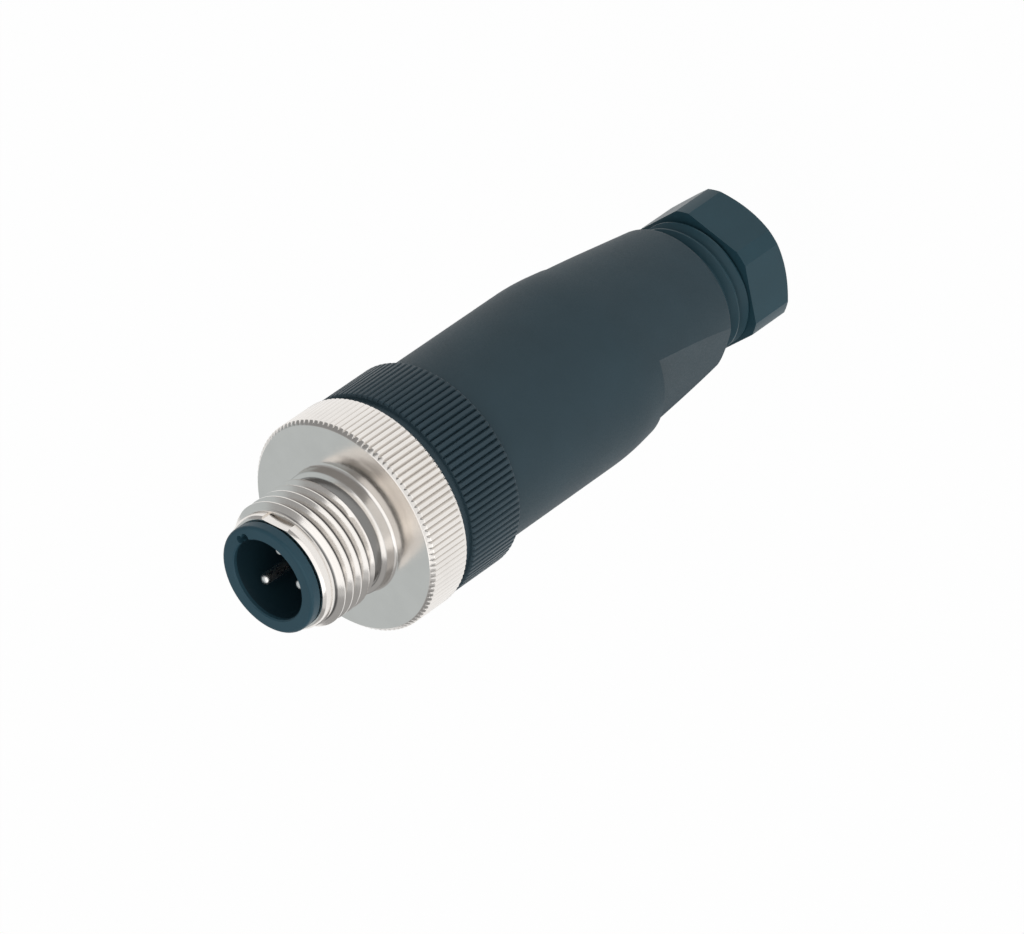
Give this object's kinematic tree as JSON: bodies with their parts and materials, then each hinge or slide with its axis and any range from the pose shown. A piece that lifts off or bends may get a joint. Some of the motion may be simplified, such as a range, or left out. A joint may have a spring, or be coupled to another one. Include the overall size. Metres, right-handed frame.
{
  "type": "field-wired circular cable plug",
  "caption": "Round male cable plug with a threaded metal coupling ring, knurled grip, tapered shell with wrench flats, screw terminals and a cable gland.",
  "frame": {"origin": "centre of the pressing screw's rear face, on the plug's axis, where the plug stands", "axes": "+Z along the axis from the cable end to the mating face, +X and -X out of the shell's two wrench flats"},
  "size_m": [0.0198, 0.0198, 0.0605],
  "materials": {
    "nickel_plate": "bright nickel plate on turned brass",
    "insert_plastic": "black moulded plastic, fine satin",
    "grip_plastic": "black moulded plastic, knurled",
    "shell_plastic": "black moulded plastic, matt",
    "gland_plastic": "black moulded plastic, fine satin",
    "cage_plastic": "pale grey moulded plastic",
    "seal_rubber": "black rubber",
    "contact_metal": "plated turned brass",
    "guard_steel": "thin spring steel",
    "screw_steel": "plated steel"
  },
  "bodies": {
    "front": {"contact_carrier": "insert_plastic", "contact_1": "contact_metal", "contact_2": "contact_metal", "contact_3": "contact_metal", "grip_body": "grip_plastic", "body_seal": "seal_rubber", "shell_seal": "seal_rubber"},
    "coupling_ring": {"coupling_ring": "nickel_plate"},
    "cable_seal": {"cable_seal": "seal_rubber"},
    "back_shell": {"back_shell": "shell_plastic"},
    "clamp_cage": {"clamp_cage": "cage_plastic"},
    "pressing_screw": {"pressing_screw": "gland_plastic"},
    "wire_guard_1": {"wire_guard_1": "guard_steel"},
    "terminal_screw_1": {"terminal_screw_1": "screw_steel"},
    "wire_guard_2": {"wire_guard_2": "guard_steel"},
    "terminal_screw_2": {"terminal_screw_2": "screw_steel"},
    "wire_guard_3": {"wire_guard_3": "guard_steel"},
    "terminal_screw_3": {"terminal_screw_3": "screw_steel"}
  },
  "joints": [
    {"name": "ring_spin", "type": "hinge", "parent": "front", "child": "coupling_ring", "pos_m": [0, 0, 0.048], "axis": [0, 0, 1], "continuous": true},
    {"name": "shell_travel", "type": "slide", "parent": "front", "child": "cable_seal", "axis": [0, 0, -1], "range_m": [0, 0.0055]},
    {"name": "shell_turn", "type": "hinge", "parent": "cable_seal", "child": "back_shell", "pos_m": [0, 0, 0.02], "axis": [0, 0, -1], "range_deg": [0, 1981]},
    {"name": "clamp_travel", "type": "slide", "parent": "back_shell", "child": "clamp_cage", "axis": [0, 0, -1], "range_m": [-0.0022, 0.0033]},
    {"name": "screw_turn", "type": "hinge", "parent": "clamp_cage", "child": "pressing_screw", "pos_m": [0, 0, 0.006], "axis": [0, 0, -1], "range_deg": [-624, 936]},
    {"name": "guard_1_travel", "type": "slide", "parent": "front", "child": "wire_guard_1", "axis": [-0.9781, -0.2079, 0], "range_m": [0, 0.0009]},
    {"name": "terminal_1_turn", "type": "hinge", "parent": "wire_guard_1", "child": "terminal_screw_1", "pos_m": [0, 0, 0.0313], "axis": [-0.9781, -0.2079, 0], "range_deg": [0, 926]},
    {"name": "guard_2_travel", "type": "slide", "parent": "front", "child": "wire_guard_2", "axis": [0.2419, -0.9703, 0], "range_m": [0, 0.0009]},
    {"name": "terminal_2_turn", "type": "hinge", "parent": "wire_guard_2", "child": "terminal_screw_2", "pos_m": [0, 0, 0.0313], "axis": [0.2419, -0.9703, 0], "range_deg": [0, 926]},
    {"name": "guard_3_travel", "type": "slide", "parent": "front", "child": "wire_guard_3", "axis": [0.4848, 0.8746, 0], "range_m": [0, 0.0009]},
    {"name": "terminal_3_turn", "type": "hinge", "parent": "wire_guard_3", "child": "terminal_screw_3", "pos_m": [0, 0, 0.0313], "axis": [0.4848, 0.8746, 0], "range_deg": [0, 926]}
  ],
  "couplings": [
    {"joint": "shell_turn", "follows": "shell_travel", "rad_per_m": 6283.2},
    {"joint": "screw_turn", "follows": "clamp_travel", "rad_per_m": 4947.4},
    {"joint": "terminal_1_turn", "follows": "guard_1_travel", "rad_per_m": 17952},
    {"joint": "terminal_2_turn", "follows": "guard_2_travel", "rad_per_m": 17952},
    {"joint": "terminal_3_turn", "follows": "guard_3_travel", "rad_per_m": 17952}
  ]
}
